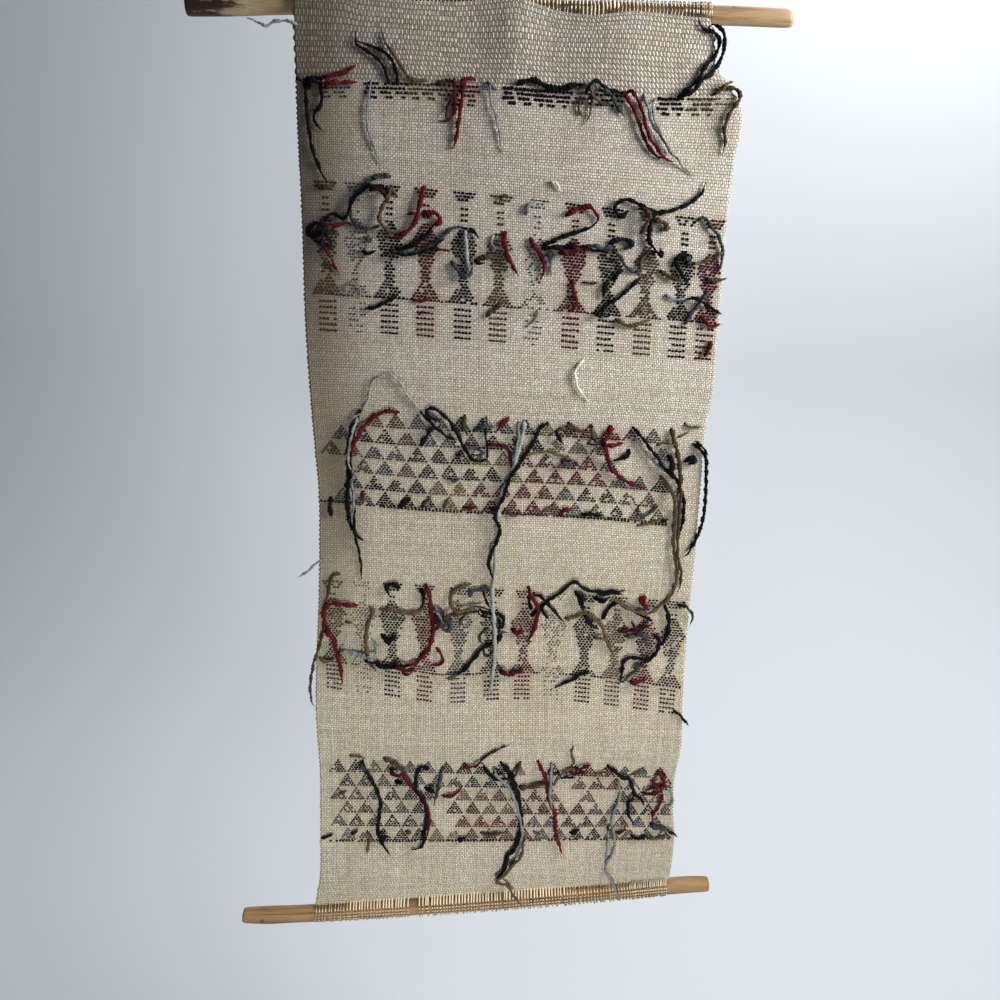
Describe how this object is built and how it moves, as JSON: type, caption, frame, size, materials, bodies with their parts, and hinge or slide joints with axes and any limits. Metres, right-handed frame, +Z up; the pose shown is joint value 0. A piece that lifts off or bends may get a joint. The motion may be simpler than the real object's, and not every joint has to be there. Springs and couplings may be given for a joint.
{
  "type": "woven tapestry hanging on two wooden rods",
  "caption": "Hand-woven cream wall hanging on two natural wooden rods, seen from the side where its brocade yarns end in loose tails.",
  "frame": {"origin": "on the top rod, midway along it, where a wall holds it", "axes": "+Z up, +X to the viewer's right along the rods, -Y out of the wall towards the viewer"},
  "size_m": [0.473, 0.0364, 0.8418],
  "materials": {
    "rod_wood": "bare, whittled",
    "cream_cloth": "matte hand-woven",
    "warp_loops": "matte twisted yarn",
    "brocade_yarn": "matte hand-spun wool",
    "loose_yarn": "matte hand-spun wool"
  },
  "bodies": {
    "root": {"top_rod": "rod_wood", "bottom_rod": "rod_wood", "cloth": "cream_cloth", "top_loops": "warp_loops", "bottom_loops": "warp_loops", "band_1_tails": "brocade_yarn", "band_2_tails": "brocade_yarn", "band_3_tails": "brocade_yarn", "band_4_tails": "brocade_yarn", "band_5_tails": "brocade_yarn", "loose_end_upper_left": "loose_yarn", "loose_end_below_band_2": "loose_yarn", "loose_end_left": "loose_yarn", "loose_end_right": "loose_yarn"}
  },
  "joints": []
}
